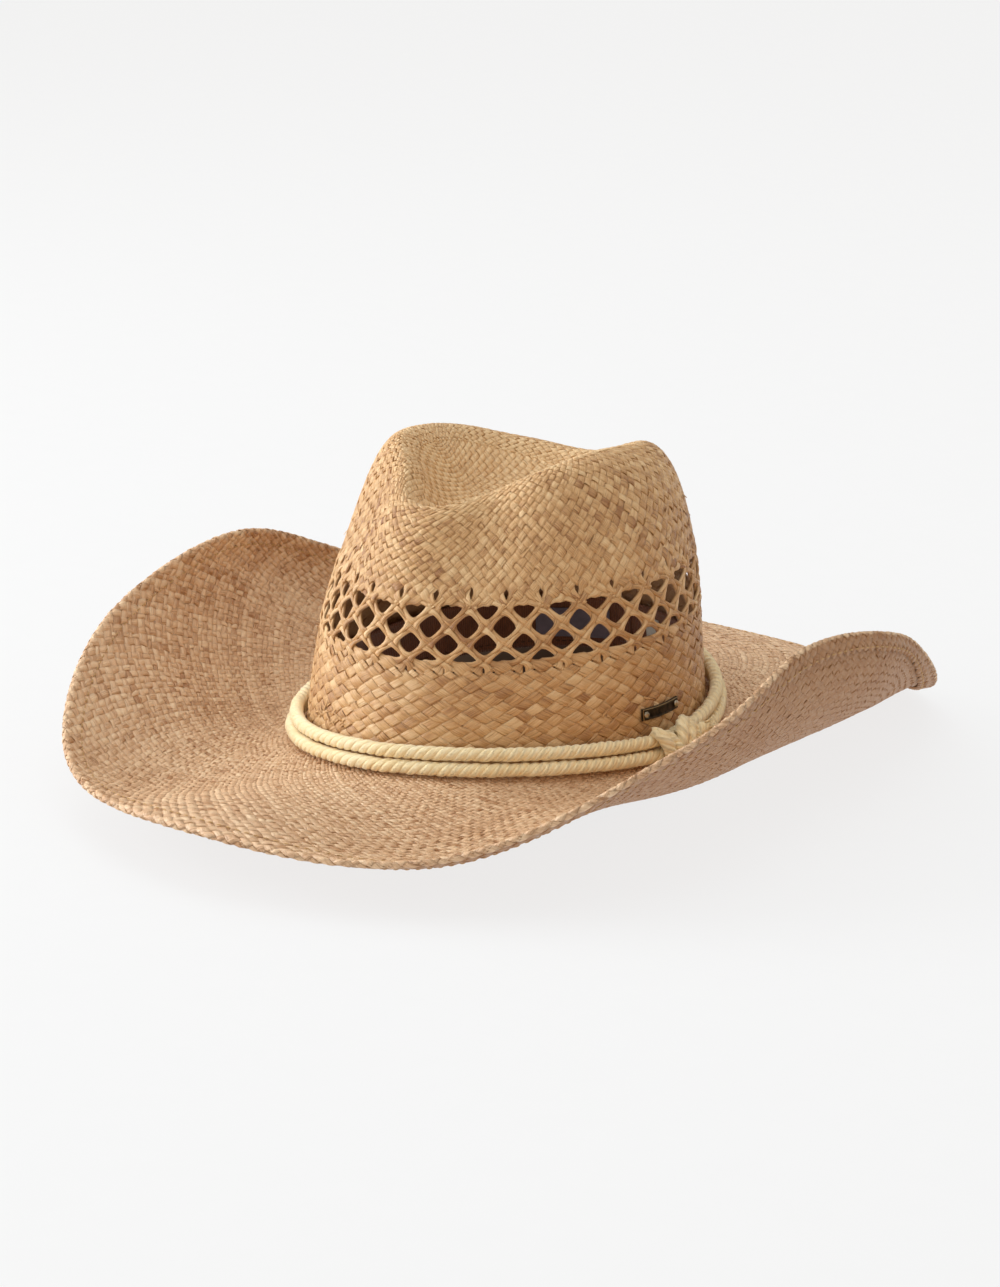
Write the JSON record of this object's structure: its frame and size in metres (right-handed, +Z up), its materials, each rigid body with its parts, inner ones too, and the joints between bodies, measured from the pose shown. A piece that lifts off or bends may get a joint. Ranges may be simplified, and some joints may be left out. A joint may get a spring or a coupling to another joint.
{
  "type": "cowboy hat",
  "caption": "Woven straw cowboy hat with a dented crown, open-weave vent band, side-curled brim, twisted rope hatband with a knot and a small metal plate.",
  "frame": {"origin": "on the surface that the hat stands on, under the middle of its bounding box", "axes": "+X to the wearer's left, -Y to the front, +Z up along the crown"},
  "size_m": [0.3364, 0.4282, 0.1506],
  "materials": {
    "straw": "plaited raffia straw, satin",
    "thread": "twisted cotton",
    "rope": "twisted cream cotton, matt",
    "band_cloth": "dark brown cotton, matt",
    "band_thread": "brown cotton",
    "label_cloth": "blank woven satin",
    "label_white": "blank white tape",
    "dark_bronze": "antiqued, satin",
    "nickel": "bright",
    "wire_steel": "drawn wire",
    "ferrule_brass": "crimped, satin"
  },
  "bodies": {
    "hat": {"crown_top": "straw", "crown_side_upper": "straw", "crown_vent_lattice": "straw", "crown_side_lower": "straw", "brim": "straw", "brim_hem": "straw", "brim_hem_stitching": "thread", "brim_edge_wire": "wire_steel", "brim_wire_ferrule": "ferrule_brass", "sweatband": "band_cloth", "sweatband_stitching": "band_thread", "sweatband_seam_tab": "band_cloth", "sweatband_label": "label_cloth", "size_label": "label_white", "plate": "dark_bronze", "plate_rivet_front": "nickel", "plate_rivet_rear": "nickel", "plate_washer_front": "nickel", "plate_washer_rear": "nickel"},
    "hatband": {"rope_turn_lower": "rope", "rope_turn_upper": "rope", "rope_knot": "rope", "rope_end_upper": "rope", "rope_end_lower": "rope"}
  },
  "joints": [
    {"name": "hatband_lift", "type": "slide", "parent": "hat", "child": "hatband", "axis": [0, 0, 1], "range_m": [0, 0.135]}
  ]
}
